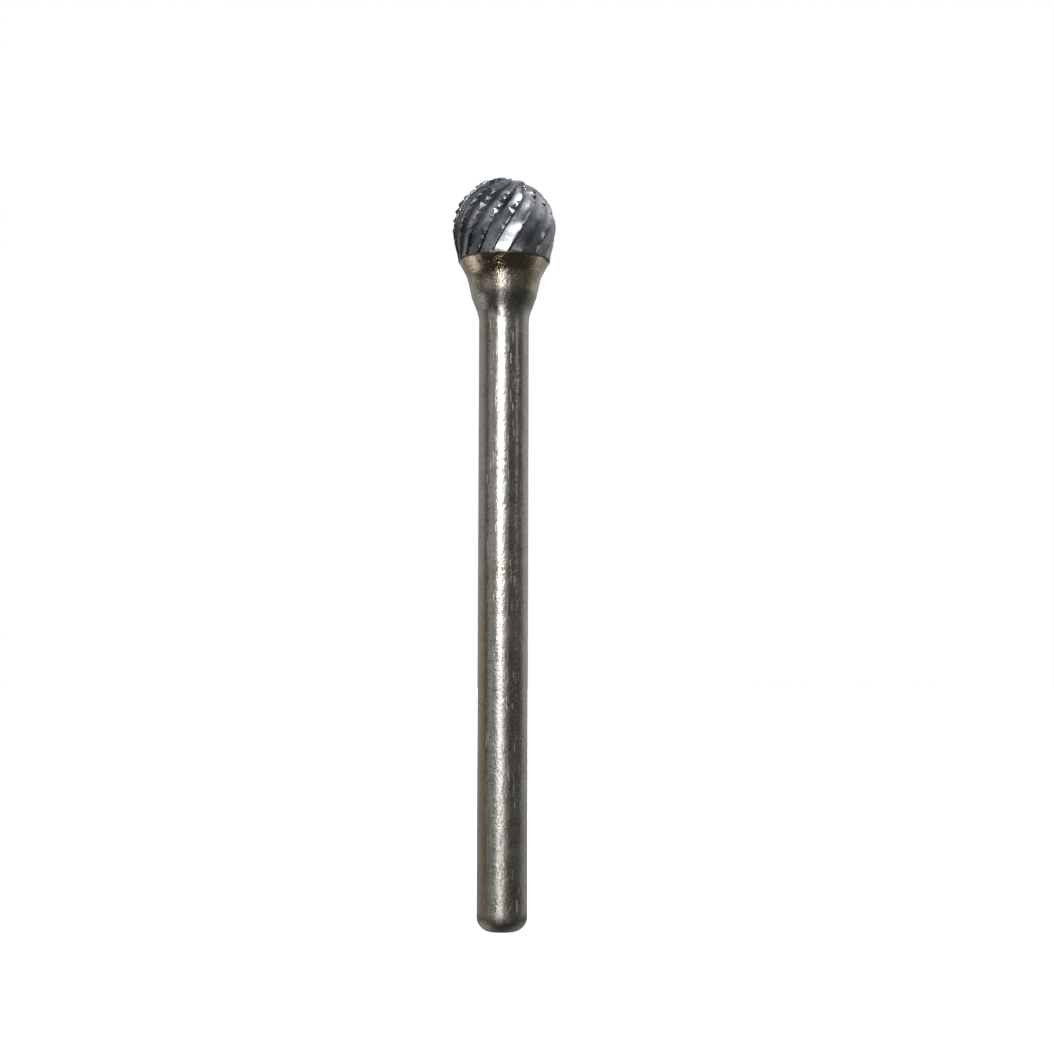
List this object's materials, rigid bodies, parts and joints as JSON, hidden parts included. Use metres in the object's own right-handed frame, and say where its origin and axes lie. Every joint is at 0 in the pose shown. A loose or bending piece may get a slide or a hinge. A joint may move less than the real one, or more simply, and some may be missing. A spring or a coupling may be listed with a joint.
{
  "type": "carbide burr",
  "caption": "Ball-shaped double-cut tungsten carbide burr brazed to a straight steel shank: the cutting bit that a die grinder's collet holds.",
  "frame": {"origin": "centre of the flat end face of the shank", "axes": "+Z runs along the burr's axis from the shank's end towards the ball; the burr is stored upright on its shank's end, ball up"},
  "size_m": [0.0064, 0.0062, 0.045],
  "materials": {
    "shank_steel": "ground tool steel with fine pits and a warm grey tone, heat-tinted straw and brown on the neck",
    "braze": "dull olive-brown silver braze, slightly oxidised",
    "carbide": "dark blue-grey ground tungsten carbide with bright facets and fine grinding lines"
  },
  "bodies": {
    "root": {"shank": "shank_steel", "braze_layer": "braze", "carbide_head": "carbide"}
  },
  "joints": []
}
